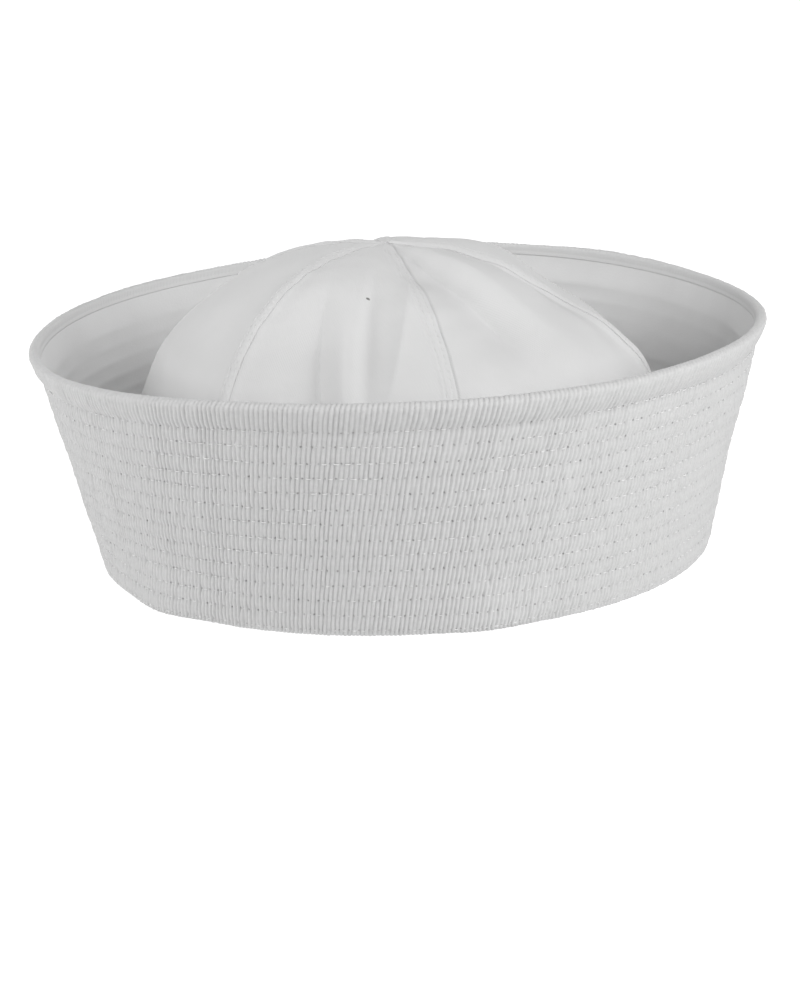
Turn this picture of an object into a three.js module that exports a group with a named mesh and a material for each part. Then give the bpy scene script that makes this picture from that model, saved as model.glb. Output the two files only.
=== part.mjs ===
// A white cotton sailor cap: a domed crown of six gores inside a tall turned-up brim.
// Millimetres, +Z up, standing on the turned-under foot of its brim. The front faces -Y.
// A bearing is an angle in degrees round the cap: 0 is the front, 90 the right (+X), 180 the back.
import * as THREE from "three";

// Brim sizes
const FOOT_RADIUS = 95;
const RIM_RADIUS = 113.4;
const BRIM_HEIGHT = 72;
const LIP_FLARE = 0.9;
const LIP_START = 60;
const HEM_EDGE = 66.5;
const OUTER_PLY = 1.2;
const INNER_PLY = 1.1;
const PLY_GAP = 0.3;
const BRIM_THICK = OUTER_PLY + PLY_GAP + INNER_PLY;
const FOOT_FOLD = 1.8;
const OPENING_RADIUS = 90.6;
const BRIM_SEGMENTS = 72;
const WALL_HEIGHTS = [4, 10, 16, 22, 58];

// Slow waves of the soft rim, in mm of height: each row is one wave round the cap
const RIM_WAVES = [
  { perTurn: 1, height: 1, crestBearing: 120 },
  { perTurn: 2, height: 1.3, crestBearing: 0 },
  { perTurn: 4, height: 0.45, crestBearing: -22 },
];

// Where the soft foot is pushed out, in degrees and mm, dying away up the wall
const FOOT_BULGES = [
  { bearing: -48, spread: 9, out: 3 },
  { bearing: 13, spread: 9, out: 2.8 },
];
const BULGE_HEIGHT = 22;

// Crown sizes
const CROWN_PLY = 1.1;
const CROWN_APEX_X = -2;
const SEAM_GAP = 0.3;
const SEAM_WIDTH = 4;
const SEAM_RISE = 0.5;
const SEAM_MOST_SHARE = 0.4;
const SEAM_STEP_SHARE = 0.06;
const APEX_HOLE = 0.8;
const GORE_COLUMNS = 15;
const GORE_ROWS = 15;

// Two sections of the crown from apex to foot: slack is where the cloth tents straight from
// seam to shoulder, full is where it keeps its round dome
const CROWN_RINGS = [
  { slackRadius: 0, slackHeight: 95.5, fullRadius: 0, fullHeight: 95.5 },
  { slackRadius: 20, slackHeight: 92.7, fullRadius: 17.5, fullHeight: 96 },
  { slackRadius: 40, slackHeight: 85.6, fullRadius: 36, fullHeight: 91.6 },
  { slackRadius: 58, slackHeight: 76, fullRadius: 52, fullHeight: 82.6 },
  { slackRadius: 71, slackHeight: 66.8, fullRadius: 65.5, fullHeight: 71.6 },
  { slackRadius: 78.5, slackHeight: 57, fullRadius: 75, fullHeight: 60 },
  { slackRadius: 85, slackHeight: 38, fullRadius: 83.5, fullHeight: 40 },
  { slackRadius: 89.3, slackHeight: 18, fullRadius: 88.8, fullHeight: 19 },
  { slackRadius: 91.8, slackHeight: 1.5, fullRadius: 91.8, fullHeight: 1.5 },
];

// The six seams, in order round the cap: where each leaves the apex and reaches the foot,
// and how much of the full section the crown has there
const SEAMS = [
  { apexBearing: -43, footBearing: -37, fullness: 0.85 },
  { apexBearing: 12, footBearing: 13, fullness: 0.5 },
  { apexBearing: 73, footBearing: 72, fullness: 0 },
  { apexBearing: 132, footBearing: 132, fullness: 0 },
  { apexBearing: 193, footBearing: 193, fullness: 0.05 },
  { apexBearing: 254, footBearing: 255, fullness: 0.7 },
];

// How far each gore swells between its seams, and the share of the way down where that ends
const GORE_SWELLS = [
  { height: 1, reach: 0.5 },
  { height: 0.5, reach: 0.5 },
  { height: 2.4, reach: 0.45 },
  { height: 1.6, reach: 0.5 },
  { height: 0.5, reach: 0.5 },
  { height: 1, reach: 0.6 },
];

// Soft folds of the crown: a ridge has a positive height and a dent a negative one; low and high
// are how far it spreads, in degrees, towards lower and higher bearings; the smaller sharp is, the
// sharper its crest; top and foot are shares of the way from apex to foot, where the fold ends
const CROWN_FOLDS = [
  { topBearing: -41, footBearing: -37, low: 9, high: 11, height: 2.8, sharp: 1.6, top: 0.12, foot: 0.95 },
  { topBearing: -26, footBearing: -8, low: 7, high: 5.5, height: -4.4, sharp: 1.1, top: 0.28, foot: 0.95 },
  { topBearing: -15, footBearing: -6, low: 4.5, high: 4.5, height: 2.4, sharp: 2, top: 0.32, foot: 0.95 },
  { topBearing: -8.2, footBearing: -4, low: 4, high: 6, height: -3, sharp: 2, top: 0.12, foot: 0.95 },
  { topBearing: 11.2, footBearing: -7.5, low: 6, high: 14, height: 5, sharp: 1.1, top: 0.16, foot: 0.74 },
  { topBearing: 6, footBearing: 48, low: 11, high: 8, height: -3, sharp: 1.6, top: -0.1, foot: 0.56 },
  { topBearing: 80, footBearing: 80, low: 45, high: 45, height: 1.6, sharp: 2, top: -0.1, foot: 0.4 },
  { topBearing: 74, footBearing: 72, low: 10, high: 10, height: 2, sharp: 2, top: 0.3, foot: 0.8 },
  { topBearing: 98, footBearing: 94, low: 15, high: 15, height: -4, sharp: 2, top: 0.25, foot: 0.85 },
];
const FOLD_CLEAR = 0.26;
const FOLD_START = 0.35;
const FOLD_END = 0.7;

// Cloth colours: ribbed cotton for the brim, fine twill for the crown
const BRIM_CLOTH = { color: 0xd9d9d8, roughness: 0.9, metalness: 0 };
const CROWN_CLOTH = { color: 0xdededd, roughness: 0.88, metalness: 0 };

const radians = THREE.MathUtils.degToRad;
const smoothstep = THREE.MathUtils.smoothstep;
const lerp = THREE.MathUtils.lerp;

function sewnPiece(name, geometry, cloth) {
  const mesh = new THREE.Mesh(geometry, new THREE.MeshStandardMaterial(cloth));
  mesh.name = name;
  return mesh;
}

// Brim

// The outer face's radius at a height: a straight flare, with a lip that opens a little more
function brimRadius(height) {
  const flare = (RIM_RADIUS - LIP_FLARE - FOOT_RADIUS) / BRIM_HEIGHT;
  return FOOT_RADIUS + flare * height + LIP_FLARE * smoothstep(height, LIP_START, BRIM_HEIGHT);
}

// A point of the brim's section, so many mm in from the outer face
const brimPoint = (height, inward) => new THREE.Vector2(brimRadius(height) - inward, height);

function rimRise(bearing) {
  return RIM_WAVES.reduce(
    (sum, wave) =>
      sum + wave.height * Math.cos(wave.perTurn * radians(bearing - wave.crestBearing)),
    0,
  );
}

// How far the foot is pushed out at a place; its inner edge round the opening stays
function footBulge(bearing, radius, height) {
  const out = FOOT_BULGES.reduce(
    (sum, bulge) => sum + bulge.out * Math.exp(-(((bearing - bulge.bearing) / bulge.spread) ** 2)),
    0,
  );
  const upTheWall = 1 - smoothstep(height, 0, BULGE_HEIGHT);
  return out * upTheWall * smoothstep(radius, OPENING_RADIUS, FOOT_RADIUS - FOOT_FOLD);
}

// Turns a closed section round the cap, pushes the foot out, and lets the rim's waves fade in
// from foot to rim
function turnedRing(section) {
  const ring = new THREE.LatheGeometry([...section, section[0]], BRIM_SEGMENTS);
  ring.rotateX(Math.PI / 2);
  const at = ring.attributes.position;
  for (let i = 0; i < at.count; i++) {
    const bearing = THREE.MathUtils.radToDeg(Math.atan2(at.getX(i), -at.getY(i)));
    const radius = Math.hypot(at.getX(i), at.getY(i));
    const height = at.getZ(i);
    const wider = 1 + footBulge(bearing, radius, height) / radius;
    const share = smoothstep(height, FOOT_FOLD, BRIM_HEIGHT);
    at.setXYZ(i, at.getX(i) * wider, at.getY(i) * wider, height + rimRise(bearing) * share);
  }
  return ring;
}

// The outer ply: turned under at the foot, up the outside, over the rim and down to the hem's edge
function brimOuter() {
  const wallHeights = [...WALL_HEIGHTS, HEM_EDGE];
  const roll = BRIM_THICK / 2;
  const rollHeight = BRIM_HEIGHT - roll;
  const foldSteps = 3;
  const rollSteps = 5;
  const section = [
    new THREE.Vector2(OPENING_RADIUS, OUTER_PLY),
    new THREE.Vector2(OPENING_RADIUS, 0),
  ];
  for (let i = 0; i <= foldSteps; i++) {
    const turn = (Math.PI / 2) * (i / foldSteps);
    section.push(
      new THREE.Vector2(
        brimRadius(FOOT_FOLD) - FOOT_FOLD * (1 - Math.sin(turn)),
        FOOT_FOLD * (1 - Math.cos(turn)),
      ),
    );
  }
  wallHeights.forEach((height) => section.push(brimPoint(height, 0)));
  for (let i = 0; i <= rollSteps; i++) {
    const turn = Math.PI * (i / rollSteps);
    section.push(
      new THREE.Vector2(
        brimRadius(rollHeight) - roll * (1 - Math.cos(turn)),
        rollHeight + roll * Math.sin(turn),
      ),
    );
  }
  section.push(brimPoint(HEM_EDGE, BRIM_THICK));
  wallHeights.reverse().forEach((height) => section.push(brimPoint(height, OUTER_PLY)));
  section.push(brimPoint(OUTER_PLY, OUTER_PLY));
  return sewnPiece("brim_outer", turnedRing(section), BRIM_CLOTH);
}

// The inner ply: stands on the turned-under foot and stops just below the hem's edge
function brimInner() {
  const heights = [OUTER_PLY + PLY_GAP, ...WALL_HEIGHTS, HEM_EDGE - PLY_GAP];
  const section = heights.map((height) => brimPoint(height, OUTER_PLY + PLY_GAP));
  heights.reverse().forEach((height) => section.push(brimPoint(height, BRIM_THICK)));
  return sewnPiece("brim_inner", turnedRing(section), BRIM_CLOTH);
}

// Crown

const slackSection = new THREE.SplineCurve(
  CROWN_RINGS.map((ring) => new THREE.Vector2(ring.slackRadius, ring.slackHeight)),
);
const fullSection = new THREE.SplineCurve(
  CROWN_RINGS.map((ring) => new THREE.Vector2(ring.fullRadius, ring.fullHeight)),
);

const seamBearing = (seam, along) => lerp(seam.apexBearing, seam.footBearing, along);

// A gore lies between its own seam and the next one round
function goreSeams(index) {
  const next = SEAMS[(index + 1) % SEAMS.length];
  const turn = index + 1 < SEAMS.length ? 0 : 360;
  const shifted = {
    apexBearing: next.apexBearing + turn,
    footBearing: next.footBearing + turn,
    fullness: next.fullness,
  };
  return [SEAMS[index], shifted];
}

// The sum of the folds at a bearing and a share of the way down; each fades out at its two ends
function foldHeight(bearing, along) {
  const total = CROWN_FOLDS.reduce((sum, fold) => {
    const span = (along - fold.top) / (fold.foot - fold.top);
    const turn = bearing - lerp(fold.topBearing, fold.footBearing, span);
    const off = THREE.MathUtils.euclideanModulo(turn + 180, 360) - 180;
    const share = Math.abs(off) / (off < 0 ? fold.low : fold.high);
    const fade = smoothstep(span, 0, FOLD_START) * (1 - smoothstep(span, FOLD_END, 1));
    return sum + fold.height * fade * Math.exp(-(share ** fold.sharp));
  }, 0);
  return total * smoothstep(along, 0, FOLD_CLEAR);
}

// A point on the crown's outer face: across is 0 to 1 between a gore's seams, along is 0 at the
// apex and 1 at the foot, and raised is how far it stands off the face
function crownPoint(index, across, along, raised) {
  const [low, high] = goreSeams(index);
  const bearing = lerp(seamBearing(low, along), seamBearing(high, along), across);
  const fullness = lerp(low.fullness, high.fullness, smoothstep(across, 0, 1));
  const place = slackSection.getPointAt(along).lerp(fullSection.getPointAt(along), fullness);
  const run = slackSection.getTangentAt(along).lerp(fullSection.getTangentAt(along), fullness);
  run.normalize();
  const swell = GORE_SWELLS[index];
  const swollen =
    along < swell.reach
      ? swell.height * Math.sin(Math.PI * across) * Math.sin((Math.PI * along) / swell.reach)
      : 0;
  const out = swollen + foldHeight(bearing, along) + raised;
  const radius = place.x - run.y * out;
  const height = place.y + run.x * out;
  const lean = CROWN_APEX_X * (1 - along);
  const turn = radians(bearing);
  return new THREE.Vector3(radius * Math.sin(turn) + lean, -radius * Math.cos(turn), height);
}

// A gore is a flat box of cloth bent to its place: columns run from seam to seam, rows from
// foot to apex. The felled seam is a raised band along its far edge.
function gore(index) {
  const cloth = new THREE.BoxGeometry(1, 1, 1, GORE_COLUMNS, GORE_ROWS, 1);
  const at = cloth.attributes.position;
  const start = APEX_HOLE / slackSection.getLength();
  const [low, high] = goreSeams(index);
  for (let i = 0; i < at.count; i++) {
    const column = Math.round((at.getX(i) + 0.5) * GORE_COLUMNS);
    const along = lerp(start, 1, 0.5 - at.getY(i));
    const outside = at.getZ(i) > 0;
    const radius = slackSection.getPointAt(along).x;
    const width = radius * radians(seamBearing(high, along) - seamBearing(low, along));
    const gapShare = SEAM_GAP / 2 / width;
    const bandShare = Math.min(SEAM_WIDTH / width, SEAM_MOST_SHARE);
    const plain = GORE_COLUMNS - 2;
    const across =
      column <= plain
        ? lerp(gapShare, 1 - bandShare, column / plain)
        : lerp(1 - bandShare * (1 - SEAM_STEP_SHARE), 1 - gapShare, column - plain - 1);
    const felled = column > plain ? SEAM_RISE : 0;
    const point = crownPoint(index, across, along, outside ? felled : -CROWN_PLY);
    at.setXYZ(i, point.x, point.y, point.z);
  }
  return sewnPiece(`crown_gore_${index + 1}`, cloth, CROWN_CLOTH);
}

const cap = new THREE.Group();
cap.name = "sailor_cap";

const brim = new THREE.Group();
brim.add(brimOuter(), brimInner());

const crown = new THREE.Group();
SEAMS.forEach((seam, index) => crown.add(gore(index)));

cap.add(brim, crown);

export default cap;
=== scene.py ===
"""The looks of a white cotton sailor cap: ribbed quilted brim, gored crown, and all its stitching.

Sizes are in millimetres and go into the meshes in metres. A bearing is an angle in degrees round
the cap: 0 is the front (-Y), 90 the right (+X), 180 the back.
"""

import math

import bpy
import numpy as np
from mathutils import Matrix, Vector


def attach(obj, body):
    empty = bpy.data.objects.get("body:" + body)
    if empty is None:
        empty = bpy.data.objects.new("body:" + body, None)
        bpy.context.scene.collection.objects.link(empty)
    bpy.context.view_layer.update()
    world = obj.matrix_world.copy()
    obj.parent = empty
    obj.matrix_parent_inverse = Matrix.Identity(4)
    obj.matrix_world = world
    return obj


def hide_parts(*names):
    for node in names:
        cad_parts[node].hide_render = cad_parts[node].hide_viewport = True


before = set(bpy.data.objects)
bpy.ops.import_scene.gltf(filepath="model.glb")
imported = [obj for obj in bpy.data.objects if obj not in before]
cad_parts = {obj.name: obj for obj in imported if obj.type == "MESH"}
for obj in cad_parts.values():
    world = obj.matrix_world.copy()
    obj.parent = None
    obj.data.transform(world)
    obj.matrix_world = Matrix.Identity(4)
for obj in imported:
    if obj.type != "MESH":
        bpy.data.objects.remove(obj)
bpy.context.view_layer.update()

MM = 0.001
SEED = 20
GOLDEN = 0.618034

# Brim sizes, close to those of the solids
FOOT_RADIUS = 95.0
RIM_RADIUS = 113.4
BRIM_HEIGHT = 72.0
LIP_FLARE = 0.9
LIP_START = 60.0
WALL_HOLLOW = 0.6
OUTER_PLY = 1.2
OUTER_BACK = 1.45
PLY_GAP = 0.3
BRIM_THICK = 2.6
FOOT_FOLD = 1.8
OPENING_RADIUS = 90.6
FOOT_BULGES = [
    {"bearing": -48, "spread": 9, "out": 3.0},
    {"bearing": 13, "spread": 9, "out": 2.8},
]
BULGE_HEIGHT = 22.0
RIM_WAVES = [
    {"per_turn": 1, "height": 1.0, "crest_bearing": 120},
    {"per_turn": 2, "height": 1.3, "crest_bearing": 0},
    {"per_turn": 4, "height": 0.45, "crest_bearing": -22},
]

# Ribs of the brim's outer cloth: fine cords side by side, leaning a little to the right
RIBS = 487
RIB_COLUMNS = 3
RIB_PITCH = 1.4
POINT_PITCH = 1.6
RIB_DEPTH = 0.42
RIB_WANDER = 0.09
RIB_SPREAD = 0.1
RIB_LEAN = 9.0
RIB_UNEVEN = 0.25
RIB_LUMPS = 0.05
WALL_RIPPLE = 0.22

# Quilting rows of the brim, counted down from the rim
ROWS = 14
ROW_SPACING = 4.85
FIRST_ROW = 9.0
ROW_STEPS = 3
ROW_WOBBLE = 0.28
STITCHES = 208
STITCH_SHARE = 0.52
BRIM_THREAD = 0.32
BRIM_THREAD_DIP = 0.32
STITCH_SUNK = 0.32
STITCH_JITTER = 0.03
STITCH_TILT = 0.07
THREAD_SIDES = 5
THREAD_CUTS = 3
THREAD_TAPER = 0.35
ROW_DIP = 0.14
CHANNEL_PUFF = 0.28
CHANNEL_ROUND = 0.7
NEEDLE_PIT = 0.3
NEEDLE_HOLE = 0.42
HEM_PUFF = 0.45
HEM_PULL = 0.26
HEM_PULL_REACH = 2.2
HEM_DEPTH = 3.8
HEM_PROUD = -0.1
HEM_BACK = 2.25
HEM_TUCK = 2.2
ROLL_RADIUS = 1.5
ROLL_OUT = 0.1
NO_ROW = -9.0

# Inner ply of the brim
INNER_COLUMNS = 480
INNER_FACE = 2.3
INNER_PUFF = 0.3
INNER_UNEVEN = 0.8
INNER_DIP = 0.1
INNER_STITCH_SHARE = 0.6
INNER_STITCH_SINK = 0.24

# Crown sizes, close to those of the solids, with a thinner cloth
CROWN_PLY = 0.3
CROWN_APEX_X = -2.0
APEX_HOLE = 0.1
SEAM_WIDTH = 3.4
SEAM_MOST_SHARE = 0.4
SEAM_LAP = 0.3
SEAM_TUCK = 1.6
SEAM_EDGE = 0.12
SEAM_THREAD = 0.24
SEAM_THREAD_DIP = 0.25
SEAM_THREAD_SINK = 0.14
SEAM_STITCH = 2.4
SEAM_STITCH_SHARE = 0.72
SEAM_ROWS = (0.8, 2.7)
SEAM_ROW_DIP = 0.16
SEAM_ROW_WIDTH = 0.4
STITCHES_START = 14.0
SEAM_PUCKER = 0.15
PUCKER_REACH = 9.0
PUCKER_SLANT = 0.6
CROWN_RINGS = [
    {"slack_radius": 0, "slack_height": 95.5, "full_radius": 0, "full_height": 95.5},
    {"slack_radius": 20, "slack_height": 92.7, "full_radius": 17.5, "full_height": 96},
    {"slack_radius": 40, "slack_height": 85.6, "full_radius": 36.5, "full_height": 92.6},
    {"slack_radius": 58, "slack_height": 76, "full_radius": 53, "full_height": 84},
    {"slack_radius": 71, "slack_height": 66.8, "full_radius": 66.5, "full_height": 72.6},
    {"slack_radius": 78.5, "slack_height": 57, "full_radius": 75, "full_height": 60},
    {"slack_radius": 85, "slack_height": 38, "full_radius": 83.5, "full_height": 40},
    {"slack_radius": 89.3, "slack_height": 18, "full_radius": 88.8, "full_height": 19},
    {"slack_radius": 91.8, "slack_height": 1.5, "full_radius": 91.8, "full_height": 1.5},
]
SEAM_COLUMNS = ("apex_bearing", "foot_bearing", "fullness", "band", "rise", "ditch")
SEAMS = [dict(zip(SEAM_COLUMNS, row)) for row in (
    (-43, -37, 0.85, "before", 0.55, 0.1),
    (12, 13, 0.5, "before", 0.26, 0.45),
    (73, 72, 0, "after", 0.45, 0.12),
    (132, 132, 0, "before", 0.45, 0.2),
    (193, 193, 0.05, "before", 0.45, 0.2),
    (254, 255, 0.7, "before", 0.45, 0.2),
)]
GORE_SWELLS = [
    {"height": 1.4, "reach": 0.5},
    {"height": 1.6, "reach": 0.55},
    {"height": 2.4, "reach": 0.45},
    {"height": 1.6, "reach": 0.5},
    {"height": 0.5, "reach": 0.5},
    {"height": 1.4, "reach": 0.65},
]

# Soft folds of the crown. A ridge has a positive height and a dent a negative one; low and high
# are how far it spreads, in degrees, towards lower and higher bearings; the smaller sharp is, the
# sharper its crest. Top and foot are the shares of the crown's length where it begins and ends
FOLD_COLUMNS = ("top_bearing", "foot_bearing", "low", "high", "height", "sharp", "top", "foot")
CROWN_FOLDS = [dict(zip(FOLD_COLUMNS, row)) for row in (
    (-41, -37, 9, 11, 2.8, 1.6, 0.12, 0.95),
    (-27.6, -8, 7, 5.5, -4.4, 1.1, 0.22, 0.95),
    (-15, -6, 4.5, 4.5, 2.4, 2, 0.32, 0.95),
    (-8.2, -4, 4, 6, -3.0, 2, 0.12, 0.95),
    (11.2, -7.5, 6, 14, 5.0, 1.1, 0.16, 0.74),
    (14, 38, 20, 6, -4.2, 1.3, -0.1, 0.58),
    (28, 52, 8, 16, 2, 1.6, -0.1, 0.58),
    (17, 16, 9, 11, 3, 2, 0.22, 0.75),
    (70, 69, 5, 2.5, -1.3, 2, 0.06, 0.7),
    (-39.5, -34, 2, 4, -0.6, 2, 0.08, 0.95),
    (80, 80, 45, 45, 1.6, 2, -0.1, 0.4),
    (74, 72, 10, 10, 2, 2, 0.3, 0.8),
    (98, 94, 15, 15, -6, 2, 0.2, 0.85),
)]
FOLD_CLEAR = 0.26
FOLD_START = 0.35
FOLD_END = 0.7
GORE_COLUMNS = 96
GORE_ROWS = 110
GORE_RIPPLE = 0.25

# The fleck on the front gore: where it lies, as shares of the gore's width and length, and its size
FLECK_ACROSS = 0.6
FLECK_ALONG = 0.297
FLECK_SIZE = 1.0

# Pattern scales of the cloths, in steps per metre: clouds of tone 17 and 20 mm across, a plain weave
# of 0.7 mm and a thread's twist of 0.4 mm. The weave is drawn twice as coarse as the real one, so
# that it shows
PLAIN_CLOUDS = 60.0
PLAIN_WEAVE = 1400.0
TWILL_CLOUDS = 50.0
THREAD_TWIST = 2500.0

# Pattern scales in steps per millimetre: slubs of 1.1 mm and yarns of 0.3 mm along a cord. The
# twill's lines come 0.7 mm apart, again twice as coarse as the real ones, so that they show
CORD_SLUBS = 0.9
CORD_YARNS = 3.0
TWILL_LINES = 0.45
TWILL_SLANT = 28.0

# The camera stands where the photograph was taken from, in mm
CAMERA_TARGET = (0.0, 0.0, 55.0)
CAMERA_AIM = (-1.35, 0.0, 13.5)
CAMERA_DISTANCE = 900.0
CAMERA_ELEVATION = 13.3
CAMERA_ROLL = 2.4
FOCAL_PIXELS = 2894.0
IMAGE_HEIGHT = 1000
SENSOR = 36.0

# Studio light: four softboxes round the cap, a dim room and a glowing floor, in metres and watts
ROOM_LIGHT = 0.18
FLOOR_GLOW = 0.95
FLOOR_RADIUS = 30.0
LIGHT_DISTANCE = 1.7
LIGHT_SIZE = 0.9
SOFTBOXES = [
    {"name": "softbox_right", "bearing": 62, "elevation": 27, "power": 14.6},
    {"name": "softbox_front", "bearing": 15, "elevation": 45, "power": 13.8},
    {"name": "softbox_left", "bearing": -86, "elevation": 22, "power": 16.6},
    {"name": "softbox_back", "bearing": 180, "elevation": 14, "power": 7.0},
]


def smooth(value, start, end):
    share = np.clip((value - start) / (end - start), 0, 1)
    return share * share * (3 - 2 * share)


def mix(low, high, share):
    return low + (high - low) * share


def start_clean():
    if bpy.context.object and bpy.context.object.mode != "OBJECT":
        bpy.ops.object.mode_set(mode="OBJECT")
    bpy.ops.object.select_all(action="DESELECT")


def vertex_places(piece):
    places = np.empty(len(piece.data.vertices) * 3)
    piece.data.vertices.foreach_get("co", places)
    return places.reshape(-1, 3) / MM


def move_vertices(piece, places):
    piece.data.vertices.foreach_set("co", (places * MM).ravel())
    piece.data.update()


def round_the_cap(radius, bearing, height):
    turn = np.radians(bearing)
    return np.stack([radius * np.sin(turn), -radius * np.cos(turn), height], axis=-1)


def face_outwards(piece):
    bpy.context.view_layer.objects.active = piece
    bpy.ops.object.mode_set(mode="EDIT")
    bpy.ops.mesh.select_all(action="SELECT")
    bpy.ops.mesh.normals_make_consistent(inside=False)
    bpy.ops.object.mode_set(mode="OBJECT")


def lay_uv(piece, name, across, along, period=None):
    """Gives each vertex its place on the cloth; a face over the join of a ring runs on past it."""
    corners = np.empty(len(piece.data.loops), dtype=np.int32)
    piece.data.loops.foreach_get("vertex_index", corners)
    uv = np.stack([across[corners], along[corners]], axis=-1)
    if period:
        faces = uv[:, 0].reshape(-1, 4)
        faces[faces < faces.max(axis=1, keepdims=True) - period / 2] += period
        uv[:, 0] = faces.ravel()
    layer = piece.data.uv_layers.get(name) or piece.data.uv_layers.new(name=name)
    layer.data.foreach_set("uv", uv.astype(np.float32).ravel())


def ripples(rng, places, count, shortest, longest):
    """Slow uneven waves through a piece, from about -1 to 1: wavelengths are in mm."""
    total = np.zeros(len(places))
    for _ in range(count):
        direction = rng.normal(size=3)
        direction /= np.linalg.norm(direction)
        wavelength = rng.uniform(shortest, longest)
        phase = rng.uniform(0, 2 * np.pi)
        total += np.sin(places @ direction * 2 * np.pi / wavelength + phase)
    return total / math.sqrt(count)


# The brim's shape


def brim_radius(height):
    flare = (RIM_RADIUS - LIP_FLARE - FOOT_RADIUS) / BRIM_HEIGHT
    lip = LIP_FLARE * smooth(height, LIP_START, BRIM_HEIGHT)
    return FOOT_RADIUS + flare * height + lip - WALL_HOLLOW * np.sin(np.pi * height / BRIM_HEIGHT)


WALL_RISE = math.cos(math.atan((RIM_RADIUS - LIP_FLARE - FOOT_RADIUS) / BRIM_HEIGHT))


def height_of_drop(drop):
    """Height of a place that lies so far below the rim along the slanting wall."""
    return BRIM_HEIGHT - drop * WALL_RISE


def rim_rise(bearing, height):
    rise = sum(
        wave["height"] * np.cos(np.radians(wave["per_turn"] * (bearing - wave["crest_bearing"])))
        for wave in RIM_WAVES
    )
    return rise * smooth(height, FOOT_FOLD, BRIM_HEIGHT)


def foot_bulge(bearing, height):
    """How far the soft foot is pushed out at places, dying away up the wall."""
    out = 0
    for bulge in FOOT_BULGES:
        off = np.mod(bearing - bulge["bearing"] + 180, 360) - 180
        out = out + bulge["out"] * np.exp(-((off / bulge["spread"]) ** 2))
    return out * smooth(height, BULGE_HEIGHT, 0)


def row_wobble(row, bearing):
    """How far a quilting row strays up or down; between two rows the cloth goes with both."""
    def stray(whole):
        slow = np.sin(np.radians(3 * bearing) + whole * 2.4)
        quick = np.sin(np.radians(11 * bearing) + whole * 4.1)
        return ROW_WOBBLE * (0.6 * slow + 0.4 * quick)

    below = np.floor(row)
    return mix(stray(below), stray(below + 1), row - below)


def stitch_phase(row):
    return np.mod(np.round(row) * GOLDEN, 1)


def section_normals(section):
    """Outward direction at each point of a closed section, from its two neighbours."""
    run = np.roll(section, -1, axis=0) - np.roll(section, 1, axis=0)
    out = np.stack([run[:, 1], -run[:, 0]], axis=-1)
    return out / np.linalg.norm(out, axis=1, keepdims=True)


def turned_ring(name, section, columns):
    """A ring of cloth: its section, a closed loop of radius and height, turned round the cap."""
    start_clean()
    bpy.ops.mesh.primitive_circle_add(vertices=len(section), radius=1)
    ring = bpy.context.object
    ring.name = name
    move_vertices(ring, np.insert(section, 1, 0, axis=1))
    turn = ring.modifiers.new("turn", "SCREW")
    turn.steps = columns
    turn.render_steps = columns
    turn.use_merge_vertices = True
    turn.merge_threshold = 1e-5
    bpy.ops.object.modifier_apply(modifier=turn.name)
    bpy.ops.object.shade_smooth()
    return ring


def places_on_ring(ring, section, columns):
    """For each vertex of a turned ring: its point of the section, its column and its bearing."""
    at = vertex_places(ring)
    radius = np.hypot(at[:, 0], at[:, 1])
    gaps = (radius[:, None] - section[:, 0]) ** 2 + (at[:, 2][:, None] - section[:, 1]) ** 2
    turn = np.degrees(np.arctan2(at[:, 1], at[:, 0]))
    column = np.mod(np.round(turn * columns / 360).astype(int), columns)
    return gaps.argmin(axis=1), column, column * 360 / columns + 90


def outer_section():
    """The outer ply from the inner edge of its turned-under foot, up the outside, over the rim
    and down to the hem's edge, then back inside the wall. Columns: radius, height, row, ribbed."""
    points = [
        (OPENING_RADIUS + 0.3, 0.4, NO_ROW, 0),
        (OPENING_RADIUS + 0.7, 0.0, NO_ROW, 0),
        (brim_radius(0) - FOOT_FOLD, 0.0, NO_ROW, 0.3),
    ]
    for turn in np.radians([30, 60]):
        radius = brim_radius(FOOT_FOLD) - FOOT_FOLD * (1 - math.sin(turn))
        points.append((radius, FOOT_FOLD * (1 - math.cos(turn)), NO_ROW, 0.7))
    for step in range((ROWS - 1) * ROW_STEPS, -1, -1):
        row = step / ROW_STEPS
        height = height_of_drop(FIRST_ROW + ROW_SPACING * row)
        points.append((brim_radius(height), height, row, 1))
    for drop in (7.5, 6, 4.5, 3.2):
        height = height_of_drop(drop)
        points.append((brim_radius(height), height, NO_ROW, 1))
    middle = BRIM_HEIGHT - ROLL_RADIUS
    for degrees, ribbed in ((-20, 1), (15, 1), (50, 1), (85, 0.8), (120, 0.35), (160, 0.15)):
        turn = math.radians(degrees)
        radius = brim_radius(middle) - ROLL_RADIUS + ROLL_OUT + ROLL_RADIUS * math.cos(turn)
        points.append((radius, middle + ROLL_RADIUS * math.sin(turn), NO_ROW, ribbed))
    for drop, ribbed in ((2.2, 0.1), (2.7, 0.05), (HEM_DEPTH - 0.6, 0)):
        height = height_of_drop(drop)
        points.append((brim_radius(height) - BRIM_THICK - HEM_PROUD, height, NO_ROW, ribbed))
    for drop, inward in ((HEM_DEPTH - 0.25, HEM_BACK + 0.2), (HEM_DEPTH - 0.06, HEM_BACK + 0.12),
                         (HEM_DEPTH, HEM_BACK), (HEM_TUCK, HEM_BACK), (HEM_TUCK, OUTER_BACK),
                         (FIRST_ROW + 1, OUTER_BACK)):
        height = height_of_drop(drop)
        points.append((brim_radius(height) - inward, height, NO_ROW, 0))
    for height in (35, 3):
        points.append((brim_radius(height) - OUTER_BACK, height, NO_ROW, 0))
    points.append((OPENING_RADIUS + 0.6, OUTER_PLY - 0.2, NO_ROW, 0))
    return np.array(points)


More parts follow.
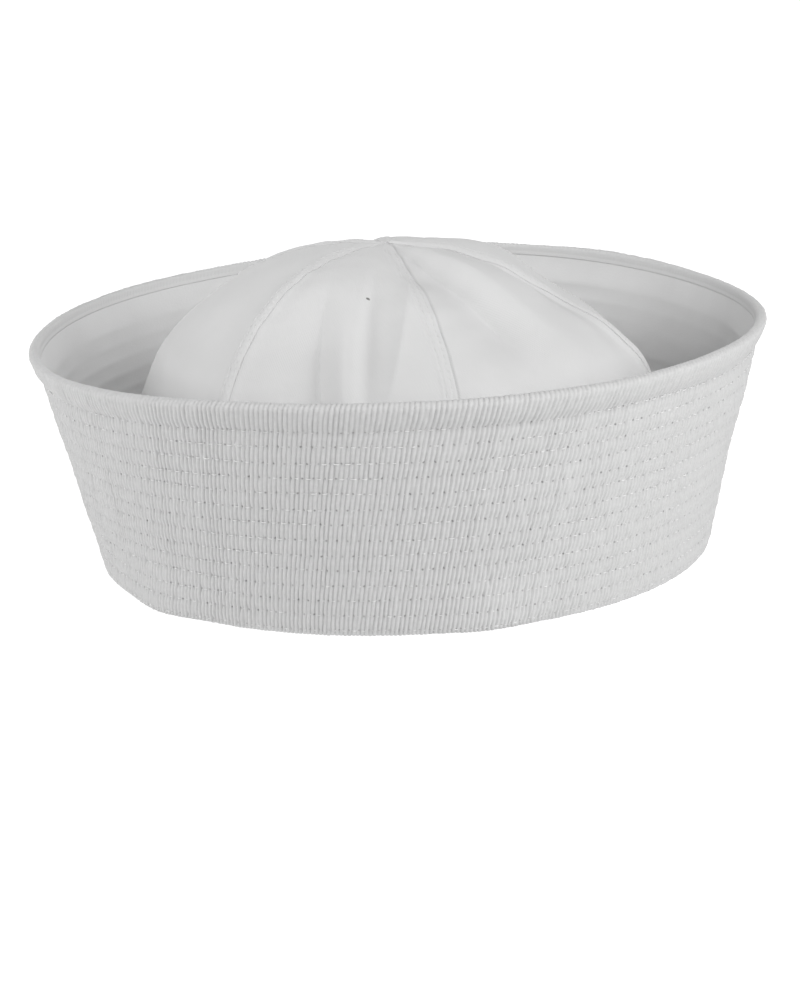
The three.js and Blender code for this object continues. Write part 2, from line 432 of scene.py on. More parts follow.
def quilt_relief(row):
    """Rows are pulled in by their thread, and the channels between them stand out."""
    return np.where(row >= 0, CHANNEL_PUFF * np.abs(np.sin(np.pi * row)) ** CHANNEL_ROUND - ROW_DIP, 0)


def hem_relief(drop, row):
    """The doubled cloth of the hem stands out above the first row, which pulls it in."""
    puff = np.where(row < 0, HEM_PUFF * np.sin(np.pi * np.clip(drop / FIRST_ROW, 0, 1)), 0)
    return puff - HEM_PULL * np.exp(-(((drop - FIRST_ROW) / HEM_PULL_REACH) ** 2))


def brim_outer_cloth():
    """The ribbed outer ply: cords, channels, needle pits and slow ripples on its turned section."""
    rng = np.random.default_rng(SEED)
    columns = RIBS * RIB_COLUMNS
    table = outer_section()
    section = table[:, :2]
    row = table[:, 2]
    ribbed = table[:, 3]
    out = section_normals(section)
    steps = np.linalg.norm(np.diff(section, axis=0), axis=1)
    travel = np.concatenate([[0], np.cumsum(steps)])
    drop = (BRIM_HEIGHT - section[:, 1]) / WALL_RISE
    outside = section[:, 0] > brim_radius(section[:, 1]) - 0.5
    relief = quilt_relief(row) + np.where(outside & (section[:, 1] > 20), hem_relief(drop, row), 0)

    cloth = turned_ring("brim_outer_cloth", section, columns)
    point, column, bearing = places_on_ring(cloth, section, columns)
    rib = column // RIB_COLUMNS
    groove = column % RIB_COLUMNS == 0
    pitch = 360 / RIBS
    bearing = bearing + np.choose(column % RIB_COLUMNS, [0, -RIB_SPREAD, RIB_SPREAD]) * pitch
    lean = np.degrees(math.tan(math.radians(RIB_LEAN)) * travel / FOOT_RADIUS)
    depth = RIB_DEPTH * rng.uniform(1 - RIB_UNEVEN, 1 + RIB_UNEVEN, size=RIBS)[rib]
    lumps = rng.normal(size=(RIBS, len(section)))
    lumps = (lumps + np.roll(lumps, 1, axis=1)) * RIB_LUMPS
    stand = relief[point] + np.where(groove, -depth, lumps[rib, point]) * ribbed[point]

    radius = section[point, 0]
    height = section[point, 1]
    on_cloth = np.stack([rib * RIB_PITCH, point * POINT_PITCH, 0 * point], axis=-1)
    wander = RIB_WANDER * ripples(rng, on_cloth, 14, 9, 30)
    bearing = bearing + lean[point] + np.degrees(wander / FOOT_RADIUS) * ribbed[point]
    on_row = row[point] == np.round(row[point])
    stitch = np.mod(bearing * STITCHES / 360 + stitch_phase(row[point]) + 0.5, 1) - 0.5
    reach = stitch * 2 * np.pi * radius / STITCHES / NEEDLE_HOLE
    stand -= np.where(on_row & (row[point] >= 0), NEEDLE_PIT * np.exp(-(reach ** 2)), 0)
    slow = ripples(rng, round_the_cap(radius, bearing, height * 2), 18, 30, 90)
    stand += WALL_RIPPLE * slow * ribbed[point] * smooth(height, 0, 15)

    stray = np.where(row[point] >= 0, row_wobble(row[point], bearing), 0)
    height = height + stray + out[point, 1] * stand
    radius = radius + out[point, 0] * stand + foot_bulge(bearing, height) * outside[point]
    height = np.maximum(height + rim_rise(bearing, height), 0)
    move_vertices(cloth, round_the_cap(radius, bearing, height))
    face_outwards(cloth)
    lay_uv(cloth, "stitch_grid", bearing * STITCHES / 360, row[point], STITCHES)
    lay_uv(cloth, "cord", (column / RIB_COLUMNS).astype(float), travel[point], RIBS)
    shown = cloth.data.attributes.new("ribbed", "FLOAT", "POINT")
    shown.data.foreach_set("value", ribbed[point].astype(np.float32))
    return cloth


def inner_section():
    """The inner ply: its smooth face towards the crown, its top tucked up behind the hem, and its
    back against the outer ply. Columns: radius, height, row."""
    foot = OUTER_PLY + PLY_GAP
    back = OUTER_PLY + PLY_GAP
    points = []
    for drop in (HEM_TUCK + 0.4, HEM_DEPTH - 0.4):
        height = height_of_drop(drop)
        points.append((brim_radius(height) - HEM_BACK + 0.04, height, NO_ROW))
    for step in range(0, (ROWS - 1) * ROW_STEPS + 1):
        row = step / ROW_STEPS
        height = height_of_drop(FIRST_ROW + ROW_SPACING * row)
        points.append((brim_radius(height) - INNER_FACE, height, row))
    points.append((brim_radius(foot) - INNER_FACE, foot, NO_ROW))
    for height in (foot, 30.0, height_of_drop(HEM_TUCK + 0.4)):
        points.append((brim_radius(height) - back, height, NO_ROW))
    return np.array(points)


def brim_inner_cloth():
    """The smooth inner ply, puffed unevenly between the quilting rows."""
    rng = np.random.default_rng(SEED + 1)
    table = inner_section()
    section = table[:, :2]
    row = table[:, 2]
    cloth = turned_ring("brim_inner_cloth", section, INNER_COLUMNS)
    point, column, bearing = places_on_ring(cloth, section, INNER_COLUMNS)
    radius = section[point, 0]
    height = section[point, 1]
    shown = row[point] >= 0
    relief = INNER_PUFF * np.abs(np.sin(np.pi * row[point])) ** CHANNEL_ROUND
    slow = ripples(rng, round_the_cap(radius, bearing, height * 2), 18, 25, 80)
    radius = radius - np.where(shown, relief * (1 + INNER_UNEVEN * slow) - INNER_DIP, 0)
    height = height + np.where(shown, row_wobble(row[point], bearing), 0)
    height = height + rim_rise(bearing, height)
    move_vertices(cloth, round_the_cap(radius, bearing, height))
    face_outwards(cloth)
    lay_uv(cloth, "stitch_grid", bearing * STITCHES / 360, row[point], STITCHES)
    return cloth


# The crown's shape


def section_curve(radius_key, height_key):
    """Points and directions along a smooth curve through the crown's rings, by share of length."""
    knots = np.array([[ring[radius_key], ring[height_key]] for ring in CROWN_RINGS], dtype=float)
    last = len(knots) - 1
    place = np.linspace(0, last, 600)
    span = np.minimum(place.astype(int), last - 1)
    share = (place - span)[:, None]
    before = knots[np.maximum(span - 1, 0)]
    start = knots[span]
    end = knots[span + 1]
    after = knots[np.minimum(span + 2, last)]
    leave = (end - before) / 2
    arrive = (after - start) / 2
    curve = (
        (2 * start - 2 * end + leave + arrive) * share ** 3
        + (3 * end - 3 * start - 2 * leave - arrive) * share ** 2
        + leave * share
        + start
    )
    length = np.concatenate([[0], np.cumsum(np.linalg.norm(np.diff(curve, axis=0), axis=1))])
    heading = np.gradient(curve, axis=0)
    heading /= np.linalg.norm(heading, axis=1, keepdims=True)
    return length / length[-1], curve, heading, length[-1]


SLACK = section_curve("slack_radius", "slack_height")
FULL = section_curve("full_radius", "full_height")
CROWN_LENGTH = SLACK[3]


def along_curve(curve, along):
    shares, points, headings, _ = curve
    place = np.stack([np.interp(along, shares, points[:, k]) for k in (0, 1)], axis=-1)
    heading = np.stack([np.interp(along, shares, headings[:, k]) for k in (0, 1)], axis=-1)
    return place, heading


def seam_bearing(seam, along):
    return mix(seam["apex_bearing"], seam["foot_bearing"], along)


def gore_seams(index):
    """A gore lies between its own seam and the next one round."""
    index = index % len(SEAMS)
    turn = 0 if index + 1 < len(SEAMS) else 360
    following = SEAMS[(index + 1) % len(SEAMS)]
    shifted = dict(following)
    shifted["apex_bearing"] += turn
    shifted["foot_bearing"] += turn
    return SEAMS[index], shifted


def fold_height(bearing, along):
    total = np.zeros_like(bearing)
    for fold in CROWN_FOLDS:
        span = (along - fold["top"]) / (fold["foot"] - fold["top"])
        line = mix(fold["top_bearing"], fold["foot_bearing"], span)
        off = np.mod(bearing - line + 180, 360) - 180
        spread = np.where(off < 0, fold["low"], fold["high"])
        fade = smooth(span, 0, FOLD_START) * smooth(span, 1, FOLD_END)
        total += fold["height"] * fade * np.exp(-(np.abs(off / spread) ** fold["sharp"]))
    return total * smooth(along, 0, FOLD_CLEAR)


def crown_point(index, across, along, raised):
    """Points of the crown at these shares of a gore's width and length, raised off it in mm."""
    low, high = gore_seams(index)
    bearing = mix(seam_bearing(low, along), seam_bearing(high, along), across)
    fullness = mix(low["fullness"], high["fullness"], smooth(across, 0, 1))[:, None]
    slack_place, slack_heading = along_curve(SLACK, along)
    full_place, full_heading = along_curve(FULL, along)
    place = mix(slack_place, full_place, fullness)
    heading = mix(slack_heading, full_heading, fullness)
    heading /= np.linalg.norm(heading, axis=1, keepdims=True)
    swell = GORE_SWELLS[index]
    bulge = np.sin(np.pi * np.clip(across, 0, 1)) * np.sin(np.pi * np.clip(along / swell["reach"], 0, 1))
    off = swell["height"] * bulge + fold_height(bearing, along) + raised
    radius = place[:, 0] - heading[:, 1] * off
    height = place[:, 1] + heading[:, 0] * off
    at = round_the_cap(radius, bearing, height)
    at[:, 0] += CROWN_APEX_X * (1 - along)
    return at


def gore_width(index, along):
    low, high = gore_seams(index)
    radius = along_curve(SLACK, along)[0][:, 0]
    return radius * np.radians(seam_bearing(high, along) - seam_bearing(low, along))


def pucker(number, along, gap):
    """Small gathers that the stitching leaves along a seam, dying away into both its gores."""
    rng = np.random.default_rng(SEED + 40 + number % len(SEAMS))
    wave = np.zeros_like(along)
    for _ in range(5):
        wavelength = rng.uniform(8, 20)
        run = along * CROWN_LENGTH + PUCKER_SLANT * gap
        wave += np.sin(run * 2 * np.pi / wavelength + rng.uniform(0, 6.3))
    return SEAM_PUCKER * wave / 2.2 * np.exp(-np.abs(gap) / PUCKER_REACH)


def seam_band(rise, gap, width):
    """Felled cloth along a seam: a raised band with two sunk stitch lines, gap mm from its edge."""
    band = rise * (1 - smooth(gap, width - 0.2, width + 0.9))
    band -= (rise - SEAM_EDGE) * (1 - smooth(gap, -SEAM_LAP, 0.8))
    for line in SEAM_ROWS:
        dip = SEAM_ROW_DIP * np.exp(-(((gap - line) / SEAM_ROW_WIDTH) ** 2))
        band -= dip * (width > SEAM_WIDTH - 0.1)
    return band


def gore_cloth(index):
    """One gore: a grid laid on the crown, with a fifth of its columns close along each seam, so that
    the felled band has enough of them, and then given its thickness."""
    rng = np.random.default_rng(SEED + 10 + index)
    start_clean()
    bpy.ops.mesh.primitive_grid_add(x_subdivisions=GORE_COLUMNS, y_subdivisions=GORE_ROWS, size=1)
    gore = bpy.context.object
    gore.name = f"crown_gore_{index + 1}_cloth"
    flat = vertex_places(gore) * MM
    along = mix(APEX_HOLE / CROWN_LENGTH, 1, 0.5 - flat[:, 1])
    width = gore_width(index, along)
    band = np.minimum(SEAM_WIDTH / width, SEAM_MOST_SHARE)
    even = flat[:, 0] + 0.5
    edge = np.minimum(1.5 * band, 0.45)
    across = np.select(
        [even < 0.2, even > 0.8],
        [even * 5 * edge, 1 - (1 - even) * 5 * edge],
        mix(edge, 1 - edge, (even - 0.2) / 0.6),
    )
    low, high = gore_seams(index)
    reach = np.minimum(1, width / (3 * SEAM_TUCK))
    near_end = (SEAM_LAP if low["band"] == "after" else SEAM_TUCK) * reach / width
    far_end = (SEAM_LAP if high["band"] == "before" else SEAM_TUCK) * reach / width
    across = mix(-near_end, 1 + far_end, across)
    to_near = across * width
    to_far = (1 - across) * width
    raised = np.zeros_like(along)
    edges = ((index, low, "after", to_near), (index + 1, high, "before", to_far))
    for number, seam, carried, gap in edges:
        if seam["band"] == carried:
            raised += seam_band(seam["rise"], gap, band * width)
        else:
            raised -= seam["ditch"] * (1 - smooth(gap, -0.2, 1.4)) * reach
        raised += pucker(number, along, gap) * reach
    at = crown_point(index, across, along, raised)
    inland = smooth(np.minimum(to_near, to_far), SEAM_TUCK, 12)
    at = crown_point(index, across, along, raised + GORE_RIPPLE * ripples(rng, at, 16, 14, 45) * inland)
    move_vertices(gore, at)
    lay_uv(gore, "cut", (across - 0.5) * width, along * CROWN_LENGTH)
    wall = gore.modifiers.new("cloth", "SOLIDIFY")
    wall.thickness = CROWN_PLY * MM
    wall.offset = -1
    bpy.ops.object.modifier_apply(modifier=wall.name)
    bpy.ops.object.shade_smooth_by_angle(angle=math.radians(55))
    return gore


# Stitching


def one_stitch(thread):
    """A stitch one unit long: the points of a thread, cut across so that it can dip, and its faces."""
    start_clean()
    bpy.ops.mesh.primitive_cylinder_add(vertices=THREAD_SIDES, radius=thread / 2 * MM, depth=1 * MM)
    stitch = bpy.context.object
    bpy.ops.object.mode_set(mode="EDIT")
    bpy.ops.mesh.select_mode(type="EDGE")
    bpy.ops.mesh.select_all(action="DESELECT")
    bpy.ops.object.mode_set(mode="OBJECT")
    ends = [vertex.co.z for vertex in stitch.data.vertices]
    for edge in stitch.data.edges:
        edge.select = abs(ends[edge.vertices[0]] - ends[edge.vertices[1]]) > 0.5 * MM
    bpy.ops.object.mode_set(mode="EDIT")
    bpy.ops.mesh.subdivide(number_cuts=THREAD_CUTS)
    bpy.ops.object.mode_set(mode="OBJECT")
    shape = vertex_places(stitch)
    faces = [tuple(face.vertices) for face in stitch.data.polygons]
    bpy.data.objects.remove(stitch)
    return np.stack([shape[:, 2], shape[:, 0], shape[:, 1]], axis=-1), faces


def sewn(name, model, at, along, out, lengths, dip):
    """Copies a stitch to each place as one mesh, its ends dipped into the cloth; along and out are
    its directions there."""
    shape, faces = model
    side = np.cross(out, along)
    place = shape[None, :, 0:1] * lengths[:, None, None]
    sink = dip * (2 * shape[:, 0]) ** 4
    slim = 1 - THREAD_TAPER * (2 * shape[:, 0]) ** 4
    points = (
        at[:, None, :]
        + place * along[:, None, :]
        + (shape[:, 1] * slim)[None, :, None] * side[:, None, :]
        + (shape[:, 2] * slim - sink)[None, :, None] * out[:, None, :]
    )
    count = len(at)
    step = len(shape)
    all_faces = [tuple(v + k * step for v in face) for k in range(count) for face in faces]
    mesh = bpy.data.meshes.new(name)
    mesh.from_pydata((points.reshape(-1, 3) * MM).tolist(), [], all_faces)
    piece = bpy.data.objects.new(name, mesh)
    bpy.context.scene.collection.objects.link(piece)
    start_clean()
    piece.select_set(True)
    bpy.context.view_layer.objects.active = piece
    bpy.ops.object.shade_smooth()
    return piece


def brim_stitching(name, inside):
    """The quilting stitches of all rows, on the outer face of the brim or on its inner one."""
    rng = np.random.default_rng(SEED + (3 if inside else 2))
    row = np.repeat(np.arange(ROWS), STITCHES).astype(float)
    number = np.tile(np.arange(STITCHES), ROWS)
    jitter = rng.normal(scale=STITCH_JITTER, size=len(row))
    bearing = (number + 0.5 - stitch_phase(row) + jitter) * 360 / STITCHES
    drop = FIRST_ROW + ROW_SPACING * row
    height = height_of_drop(drop)
    lift = rng.uniform(-STITCH_SUNK, 0, size=len(row)) - ROW_DIP + hem_relief(drop, row)
    if inside:
        lift = INNER_STITCH_SINK - INNER_FACE

    def on_wall(turn, stand):
        low = height + row_wobble(row, turn)
        radius = brim_radius(height) + stand
        if not inside:
            radius = radius + foot_bulge(turn, height)
        return round_the_cap(radius, turn, low + rim_rise(turn, low))

    half = 180 / STITCHES
    at = on_wall(bearing, lift)
    along = on_wall(bearing + half, lift) - on_wall(bearing - half, lift)
    pitch = np.linalg.norm(along, axis=1)
    along /= pitch[:, None]
    out = round_the_cap(np.ones_like(bearing), bearing, np.full_like(bearing, -0.25))
    if inside:
        out = -out
    out -= along * np.sum(out * along, axis=1, keepdims=True)
    out /= np.linalg.norm(out, axis=1, keepdims=True)
    tilt = rng.normal(scale=STITCH_TILT, size=len(row))[:, None]
    along = along + tilt * np.cross(out, along)
    share = INNER_STITCH_SHARE if inside else STITCH_SHARE
    lengths = pitch * share * rng.uniform(0.9, 1.08, size=len(row))
    return sewn(name, one_stitch(BRIM_THREAD), at, along, out, lengths, BRIM_THREAD_DIP)


def seam_gore(number):
    """Index of the gore that carries the felled band of a seam."""
    return number if SEAMS[number]["band"] == "after" else (number - 1) % len(SEAMS)


def seam_stitching(number):
    """The two stitch lines along a felled seam of the crown."""
    rng = np.random.default_rng(SEED + 4 + number)
    seam = SEAMS[number]
    index = seam_gore(number)
    places = np.arange(STITCHES_START, CROWN_LENGTH - 1, SEAM_STITCH)
    steps = [places + rng.uniform(0, 1) for _ in SEAM_ROWS]
    along = np.concatenate(steps) / CROWN_LENGTH
    line = np.repeat(SEAM_ROWS, [len(step) for step in steps])
    share = line / gore_width(index, along)
    across = share if seam["band"] == "after" else 1 - share
    raised = seam["rise"] - SEAM_THREAD_SINK + pucker(number, along, line)

    def on_band(aside, onward):
        return crown_point(index, across + aside, along + onward, raised)

    step = SEAM_STITCH / 2 / CROWN_LENGTH
    run = on_band(0, step) - on_band(0, -step)
    out = np.cross(on_band(0.01, 0) - on_band(-0.01, 0), -run)
    run /= np.linalg.norm(run, axis=1, keepdims=True)
    out /= np.linalg.norm(out, axis=1, keepdims=True)
    lengths = np.full(len(along), SEAM_STITCH * SEAM_STITCH_SHARE)
    name = f"crown_seam_{number + 1}_stitching"
    return sewn(name, one_stitch(SEAM_THREAD), on_band(0, 0), run, out, lengths, SEAM_THREAD_DIP)


# Materials


def linear(hex_colour):
    """An sRGB hex colour as linear red, green, blue and full alpha."""
    parts = [int(hex_colour[k:k + 2], 16) / 255 for k in (1, 3, 5)]
    return [p / 12.92 if p <= 0.04045 else ((p + 0.055) / 1.055) ** 2.4 for p in parts] + [1.0]


def add_node(tree, kind, settings, links=()):
    """A node with its settings (a name or number of an input, or a property) and its links in."""
    node = tree.nodes.new(kind)
    for key, value in settings.items():
        if isinstance(key, int) or key in node.inputs:
            node.inputs[key].default_value = value
        else:
            setattr(node, key, value)
    for key, source in dict(links).items():
        tree.links.new(source, node.inputs[key])
    return node


def new_material(name):
    material = bpy.data.materials.new(name)
    material.use_nodes = True
    tree = material.node_tree
    return material, tree, tree.nodes["Principled BSDF"]


def set_cloth(shader, roughness, sheen):
    shader.inputs["Roughness"].default_value = roughness
    shader.inputs["Specular IOR Level"].default_value = 0.25
    shader.inputs["Sheen Weight"].default_value = sheen
    shader.inputs["Sheen Roughness"].default_value = 0.5


def ribbed_cotton():
    """Bleached ribbed cotton: matt cords with soft lumps and slubs of tone, painted shade in their
    grooves and needle holes, and a ribbed face painted darker than the plain cloth as the cords' shade.
    """
    material, tree, shader = new_material("ribbed_cotton")
    set_cloth(shader, 0.92, 0.08)
    grid = add_node(tree, "ShaderNodeUVMap", {"uv_map": "stitch_grid"})
    split = add_node(tree, "ShaderNodeSeparateXYZ", {}, {0: grid.outputs["UV"]})
    row = add_node(tree, "ShaderNodeMath", {"operation": "ROUND"}, {0: split.outputs["Y"]})
    shift = add_node(tree, "ShaderNodeMath", {"operation": "MULTIPLY_ADD", 1: GOLDEN},
                     {0: row.outputs[0], 2: split.outputs["X"]})
    centred = add_node(tree, "ShaderNodeMath", {"operation": "PINGPONG", 1: 0.5},
                       {0: shift.outputs[0]})
    pitch = 2 * math.pi * (FOOT_RADIUS + RIM_RADIUS) / 2 / STITCHES
    across = add_node(tree, "ShaderNodeMath", {"operation": "MULTIPLY", 1: pitch},
                      {0: centred.outputs[0]})
    off_row = add_node(tree, "ShaderNodeMath", {"operation": "SUBTRACT"},
                       {0: split.outputs["Y"], 1: row.outputs[0]})
    up = add_node(tree, "ShaderNodeMath", {"operation": "MULTIPLY", 1: ROW_SPACING},
                  {0: off_row.outputs[0]})
    place = add_node(tree, "ShaderNodeCombineXYZ", {}, {"X": across.outputs[0], "Y": up.outputs[0]})
    reach = add_node(tree, "ShaderNodeVectorMath", {"operation": "LENGTH"}, {0: place.outputs[0]})
    # Painted shade in the needle holes: the colour darkens to grey at each open hole of a quilting row.
    hole = add_node(tree, "ShaderNodeMapRange",
                    {"From Min": NEEDLE_HOLE, "From Max": NEEDLE_HOLE * 0.4},
                    {"Value": reach.outputs["Value"]})
    quilted = add_node(tree, "ShaderNodeMath", {"operation": "GREATER_THAN", 1: -0.5},
                       {0: split.outputs["Y"]})
    number = add_node(tree, "ShaderNodeMath", {"operation": "ROUND"}, {0: shift.outputs[0]})
    which = add_node(tree, "ShaderNodeCombineXYZ", {}, {"X": number.outputs[0], "Y": row.outputs[0]})
    chance = add_node(tree, "ShaderNodeTexWhiteNoise", {"noise_dimensions": "2D"},
                      {"Vector": which.outputs[0]})
    width = add_node(tree, "ShaderNodeMapRange", {"To Min": 0.3}, {"Value": chance.outputs["Value"]})
    open_share = add_node(tree, "ShaderNodeMath", {"operation": "MULTIPLY"},
                          {0: width.outputs[0], 1: quilted.outputs[0]})
    painted_hole_shade = add_node(tree, "ShaderNodeMath", {"operation": "MULTIPLY"},
                     {0: hole.outputs[0], 1: open_share.outputs[0]})
    cord = add_node(tree, "ShaderNodeUVMap", {"uv_map": "cord"})
    slubs = add_node(tree, "ShaderNodeTexNoise", {"Scale": CORD_SLUBS, "Detail": 3.0},
                     {"Vector": cord.outputs["UV"]})
    # The tone differs at random along the slubs. The ribbed face as a whole is also painted darker than
    # the plain cloth, as painted shade of its cords.
    tone = add_node(tree, "ShaderNodeMix",
                    {"data_type": "RGBA", 6: linear("#b7b7b7"), 7: linear("#c8c8c8")},
                    {0: slubs.outputs["Fac"]})
    # Painted shade in the grooves between the cords: the colour darkens towards each groove, on the
    # ribbed face only.
    along_rib = add_node(tree, "ShaderNodeSeparateXYZ", {}, {0: cord.outputs["UV"]})
    to_groove = add_node(tree, "ShaderNodeMath", {"operation": "PINGPONG", 1: 0.5},
                         {0: along_rib.outputs["X"]})
    groove = add_node(tree, "ShaderNodeMapRange", {"From Min": 0.3, "From Max": 0.0, "To Max": 0.2},
                      {"Value": to_groove.outputs[0]})
    ribbed = add_node(tree, "ShaderNodeAttribute", {"attribute_name": "ribbed"})
    painted_groove_shade = add_node(tree, "ShaderNodeMath", {"operation": "MULTIPLY"},
                    {0: groove.outputs[0], 1: ribbed.outputs["Fac"]})
    # Where the cloth has no ribs it keeps the plain tone. The ribbed face gets the darker tone, which is
    # partly painted shade.
    even = add_node(tree, "ShaderNodeMix", {"data_type": "RGBA", 6: linear("#cacaca")},
                    {0: ribbed.outputs["Fac"], 7: tone.outputs[2]})
    shade = add_node(tree, "ShaderNodeMix", {"data_type": "RGBA", 7: linear("#b0b0b0")},
                     {0: painted_groove_shade.outputs[0], 6: even.outputs[2]})
    # The painted shade of the needle holes goes over the cloth's colour here.
    dark = add_node(tree, "ShaderNodeMix", {"data_type": "RGBA", 7: linear("#828282")},
                    {0: painted_hole_shade.outputs[0], 6: shade.outputs[2]})
    tree.links.new(dark.outputs[2], shader.inputs["Base Color"])
    yarns = add_node(tree, "ShaderNodeTexNoise", {"Scale": CORD_YARNS, "Detail": 2.0},
                     {"Vector": cord.outputs["UV"]})
    bump = add_node(tree, "ShaderNodeBump", {"Strength": 0.35, "Distance": 0.12 * MM},
                    {"Height": yarns.outputs["Fac"]})
    tree.links.new(bump.outputs[0], shader.inputs["Normal"])
    return material


def plain_cotton():
    """Bleached plain-woven cotton: a matt, nearly smooth face with a faint even weave."""
    material, tree, shader = new_material("plain_cotton")
    set_cloth(shader, 0.92, 0.08)
    place = add_node(tree, "ShaderNodeTexCoord", {})
    cloud = add_node(tree, "ShaderNodeTexNoise", {"Scale": PLAIN_CLOUDS, "Detail": 3.0},
                     {"Vector": place.outputs["Object"]})
    tone = add_node(tree, "ShaderNodeMix",
                    {"data_type": "RGBA", 6: linear("#cacaca"), 7: linear("#d4d4d4")},
                    {0: cloud.outputs["Fac"]})
    tree.links.new(tone.outputs[2], shader.inputs["Base Color"])
    weave = add_node(tree, "ShaderNodeTexNoise", {"Scale": PLAIN_WEAVE, "Detail": 1.0},
                     {"Vector": place.outputs["Object"]})
    bump = add_node(tree, "ShaderNodeBump", {"Strength": 0.3, "Distance": 0.1 * MM},
                    {"Height": weave.outputs["Fac"]})
    tree.links.new(bump.outputs[0], shader.inputs["Normal"])
    return material


def fleck_place():
    """A small dark fleck on the front gore, where the photograph shows it, in metres."""
    at = crown_point(0, np.array([FLECK_ACROSS]), np.array([FLECK_ALONG]), np.zeros(1))
    return Vector(at[0] * MM)


def cotton_twill():
    """Bleached fine cotton twill: matt, with a faint slanting line in the weave."""
    material, tree, shader = new_material("cotton_twill")
    set_cloth(shader, 0.9, 0.05)
    cut = add_node(tree, "ShaderNodeUVMap", {"uv_map": "cut"})
    place = add_node(tree, "ShaderNodeTexCoord", {})
    cloud = add_node(tree, "ShaderNodeTexNoise", {"Scale": TWILL_CLOUDS, "Detail": 3.0},
                     {"Vector": place.outputs["Object"]})
    tone = add_node(tree, "ShaderNodeMix",
                    {"data_type": "RGBA", 6: linear("#cacaca"), 7: linear("#d2d2d2")},
                    {0: cloud.outputs["Fac"]})
    gap = add_node(tree, "ShaderNodeVectorMath", {"operation": "DISTANCE", 1: fleck_place()},
                   {0: place.outputs["Object"]})
    ragged = add_node(tree, "ShaderNodeTexNoise", {"Scale": THREAD_TWIST},
                      {"Vector": place.outputs["Object"]})
    spread = add_node(tree, "ShaderNodeMath", {"operation": "MULTIPLY", 1: FLECK_SIZE * MM},
                      {0: ragged.outputs["Fac"]})
    fleck = add_node(tree, "ShaderNodeMath", {"operation": "LESS_THAN"},
                     {0: gap.outputs["Value"], 1: spread.outputs[0]})
    marked = add_node(tree, "ShaderNodeMix", {"data_type": "RGBA", 7: linear("#777775")},
                      {0: fleck.outputs[0], 6: tone.outputs[2]})
    tree.links.new(marked.outputs[2], shader.inputs["Base Color"])
    slant = add_node(tree, "ShaderNodeMapping", {"Rotation": (0, 0, math.radians(TWILL_SLANT))},
                     {"Vector": cut.outputs["UV"]})
    lines = add_node(tree, "ShaderNodeTexWave",
                     {"Scale": TWILL_LINES, "Distortion": 1.2, "Detail": 2.0, "Detail Scale": 2.0},
                     {"Vector": slant.outputs[0]})
    bump = add_node(tree, "ShaderNodeBump", {"Strength": 0.25, "Distance": 0.08 * MM},
                    {"Height": lines.outputs["Fac"]})
    tree.links.new(bump.outputs[0], shader.inputs["Normal"])
    return material


def cotton_thread(name, dull, bright):
    """Bleached sewing cotton: a little smoother than the cloth, with a fine twist."""
    material, tree, shader = new_material(name)
    set_cloth(shader, 0.8, 0.1)
    place = add_node(tree, "ShaderNodeTexCoord", {})
    twist = add_node(tree, "ShaderNodeTexNoise", {"Scale": THREAD_TWIST},
                     {"Vector": place.outputs["Object"]})
    tone = add_node(tree, "ShaderNodeMix", {"data_type": "RGBA", 6: linear(dull), 7: linear(bright)},
                    {0: twist.outputs["Fac"]})
    tree.links.new(tone.outputs[2], shader.inputs["Base Color"])
    return material


def pale_floor():
    """Matt white paper: even and bright, with next to no texture."""
    material, tree, shader = new_material("white_paper")
    shader.inputs["Roughness"].default_value = 1.0
    shader.inputs["Specular IOR Level"].default_value = 0.0
    shader.inputs["Base Color"].default_value = linear("#7c7c7c")
    shader.inputs["Emission Color"].default_value = (1, 1, 1, 1)
    shader.inputs["Emission Strength"].default_value = FLOOR_GLOW
    return material


# The cap, put together

brim_outer = brim_outer_cloth()
brim_inner = brim_inner_cloth()
gores = [gore_cloth(index) for index in range(len(SEAMS))]
outer_stitches = brim_stitching("brim_outer_stitching", inside=False)
inner_stitches = brim_stitching("brim_inner_stitching", inside=True)
seam_stitches = [seam_stitching(number) for number in range(len(SEAMS))]

brim_outer.data.materials.append(ribbed_cotton())
brim_inner.data.materials.append(plain_cotton())
twill = cotton_twill()
quilting_thread = cotton_thread("quilting_thread", "#cecece", "#dedede")
sewing_thread = cotton_thread("sewing_thread", "#cacaca", "#d4d4d4")
outer_stitches.data.materials.append(quilting_thread)
for gore in gores:
    gore.data.materials.append(twill)
for stitches in (inner_stitches, *seam_stitches):
    stitches.data.materials.append(sewing_thread)

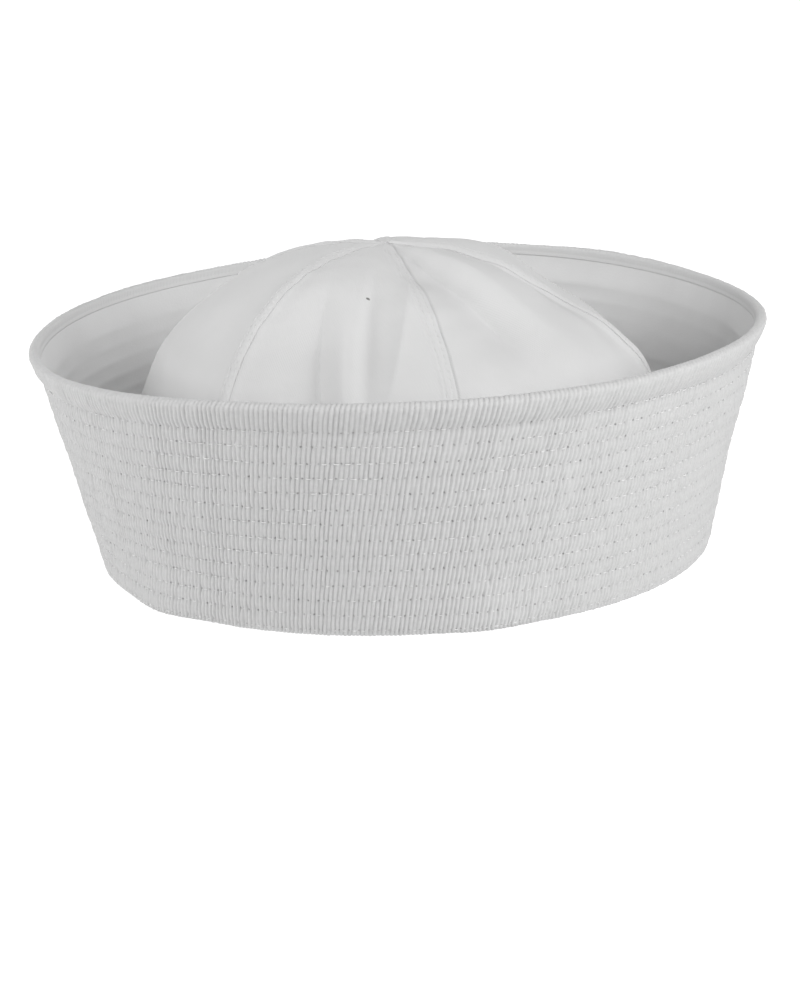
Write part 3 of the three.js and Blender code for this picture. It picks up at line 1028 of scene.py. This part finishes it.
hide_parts("brim_outer")
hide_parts("brim_inner")
for index, gore in enumerate(gores):
    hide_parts(f"crown_gore_{index + 1}")
for piece in (brim_outer, brim_inner, outer_stitches, inner_stitches):
    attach(piece, "root")
for piece in (*gores, *seam_stitches):
    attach(piece, "root")

# Floor, light and camera


def lay_floor():
    start_clean()
    bpy.ops.mesh.primitive_circle_add(vertices=96, radius=FLOOR_RADIUS, fill_type="NGON")
    floor = bpy.context.object
    floor.name = "floor"
    floor.data.materials.append(pale_floor())


def hang_light(name, bearing, elevation, power):
    """A square softbox at its bearing and elevation round the cap, turned towards it."""
    tilt = math.radians(elevation)
    turn = math.radians(bearing)
    reach = Vector((math.cos(tilt) * math.sin(turn), -math.cos(tilt) * math.cos(turn), math.sin(tilt)))
    bpy.ops.object.light_add(type="AREA", location=LIGHT_DISTANCE * reach)
    light = bpy.context.object
    light.name = name
    light.data.size = LIGHT_SIZE
    light.data.energy = power
    light.rotation_euler = reach.to_track_quat("Z", "Y").to_euler()


def light_room():
    world = bpy.data.worlds.new("studio")
    bpy.context.scene.world = world
    world.use_nodes = True
    backdrop = world.node_tree.nodes["Background"]
    backdrop.inputs["Color"].default_value = (1, 1, 1, 1)
    backdrop.inputs["Strength"].default_value = ROOM_LIGHT
    for softbox in SOFTBOXES:
        hang_light(**softbox)
    bpy.context.scene.view_settings.view_transform = "Standard"


def place_camera():
    tilt = math.radians(CAMERA_ELEVATION)
    target = Vector(CAMERA_TARGET)
    place = target + CAMERA_DISTANCE * Vector((0, -math.cos(tilt), math.sin(tilt)))
    aim = (Vector(CAMERA_AIM) - place).normalized()
    level = aim.to_track_quat("-Z", "Y").to_matrix()
    roll = Matrix.Rotation(-math.radians(CAMERA_ROLL), 3, "Z")
    bpy.ops.object.camera_add(location=place * MM)
    camera = bpy.context.object
    camera.rotation_euler = (level @ roll).to_euler()
    camera.data.sensor_width = SENSOR
    camera.data.lens = FOCAL_PIXELS * SENSOR / IMAGE_HEIGHT
    bpy.context.scene.camera = camera


lay_floor()
light_room()
place_camera()
